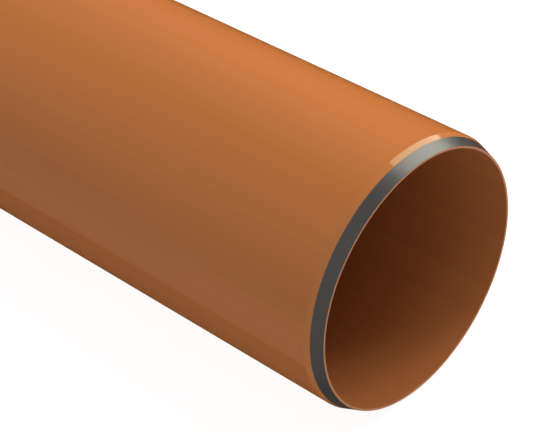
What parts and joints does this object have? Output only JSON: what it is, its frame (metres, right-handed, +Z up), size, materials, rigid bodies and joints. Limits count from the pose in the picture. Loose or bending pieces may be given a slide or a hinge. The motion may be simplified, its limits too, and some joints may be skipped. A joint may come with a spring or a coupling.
{
  "type": "drain pipe",
  "caption": "Plain-ended terracotta plastic drain pipe: a thin layered wall of orange skins over a grey core, chamfered round each end to push into a coupling.",
  "frame": {"origin": "on the floor under the middle of the pipe, which lies on its side", "axes": "+X along the pipe towards the end that the picture shows, +Z up"},
  "size_m": [0.5, 0.11, 0.1099],
  "materials": {
    "outer_skin": "satin",
    "grey_core": "satin",
    "inner_skin": "satin"
  },
  "bodies": {
    "root": {"outer_skin": "outer_skin", "grey_core": "grey_core", "inner_skin": "inner_skin"}
  },
  "joints": []
}
